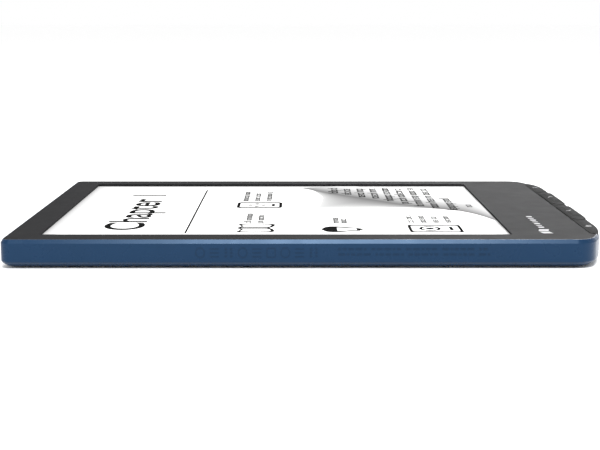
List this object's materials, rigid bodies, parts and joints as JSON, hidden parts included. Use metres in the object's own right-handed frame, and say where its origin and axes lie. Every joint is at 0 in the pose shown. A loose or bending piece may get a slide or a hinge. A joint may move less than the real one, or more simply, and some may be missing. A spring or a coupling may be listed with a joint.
{
  "type": "e-reader",
  "caption": "Slim e-reader with a matte e-paper screen in a dark bezel, a blue one-piece rear shell and a strip of raised page keys along one short end.",
  "frame": {"origin": "centre of the flat back at the surface it rests on", "axes": "+Z out of the screen, +Y to the top of the page as it is read, +X to the right of the page; the keys are at the -Y end"},
  "size_m": [0.108, 0.156, 0.0084],
  "materials": {
    "blue_plastic": "satin, fine moulded grain",
    "dark_plastic": "fine matte texture",
    "key_plastic": "soft matte, pebbled texture",
    "screen_film": "anti-glare film over e-paper",
    "clear_acrylic": "clear polished",
    "epaper_layer": "matte",
    "panel_glass": "opaque backed glass",
    "black_rubber": "matte",
    "foam": "open cell foam",
    "tape": "adhesive tape",
    "circuit_board": "solder mask",
    "polyimide": "polyimide film",
    "connector_plastic": "moulded nylon",
    "chip_epoxy": "epoxy package",
    "led_package": "phosphor coated",
    "antenna_ceramic": "glazed ceramic",
    "steel": "plated steel",
    "chassis_metal": "satin sheet",
    "cell_wrap": "aluminium laminate pouch",
    "wire_insulation": "smooth"
  },
  "bodies": {
    "case": {"antenna": "antenna_ceramic", "battery_cell": "cell_wrap", "battery_circuit": "circuit_board", "battery_leads": "wire_insulation", "battery_plug": "connector_plastic", "battery_socket": "connector_plastic", "battery_tape": "tape", "carrier_screws": "steel", "chassis_plate": "chassis_metal", "chassis_screws": "steel", "display_backplane": "panel_glass", "display_cable": "polyimide", "display_connector": "connector_plastic", "display_driver": "chip_epoxy", "display_gasket": "black_rubber", "display_power_chip": "chip_epoxy", "display_tape": "tape", "epaper_film": "epaper_layer", "foam_supports": "foam", "front_frame": "dark_plastic", "front_light_cable": "polyimide", "front_light_connector": "connector_plastic", "front_light_leds": "led_package", "front_light_strip": "polyimide", "hall_sensor": "chip_epoxy", "key_carrier": "connector_plastic", "key_seal": "black_rubber", "key_switches": "connector_plastic", "light_guide": "clear_acrylic", "light_pipe": "clear_acrylic", "mainboard": "circuit_board", "mainboard_screws": "steel", "perimeter_seal": "black_rubber", "power_chip": "chip_epoxy", "power_switch": "connector_plastic", "processor": "chip_epoxy", "ram_chip": "chip_epoxy", "rear_cover": "blue_plastic", "small_components": "chip_epoxy", "status_led": "led_package", "storage_chip": "chip_epoxy", "touch_cable": "polyimide", "touch_connector": "connector_plastic", "touch_film": "screen_film", "usb_seal": "black_rubber", "usb_shell": "steel", "usb_tongue": "connector_plastic", "wireless_module": "steel"},
    "home_key": {"home_key": "key_plastic", "home_key_plunger": "connector_plastic"},
    "back_key": {"back_key": "key_plastic", "back_key_plunger": "connector_plastic"},
    "forward_key": {"forward_key": "key_plastic", "forward_key_plunger": "connector_plastic"},
    "menu_key": {"menu_key": "key_plastic", "menu_key_plunger": "connector_plastic"},
    "power_button": {"power_button": "blue_plastic", "power_plunger": "connector_plastic"}
  },
  "joints": [
    {"name": "home_key_press", "type": "slide", "parent": "case", "child": "home_key", "axis": [0, 0, -1], "range_m": [0, 0.00035], "stiffness_N_per_m": 300},
    {"name": "back_key_press", "type": "slide", "parent": "case", "child": "back_key", "axis": [0, 0, -1], "range_m": [0, 0.00035], "stiffness_N_per_m": 300},
    {"name": "forward_key_press", "type": "slide", "parent": "case", "child": "forward_key", "axis": [0, 0, -1], "range_m": [0, 0.00035], "stiffness_N_per_m": 300},
    {"name": "menu_key_press", "type": "slide", "parent": "case", "child": "menu_key", "axis": [0, 0, -1], "range_m": [0, 0.00035], "stiffness_N_per_m": 300},
    {"name": "power_button_press", "type": "slide", "parent": "case", "child": "power_button", "axis": [0, 1, 0], "range_m": [0, 0.00035], "stiffness_N_per_m": 300}
  ]
}
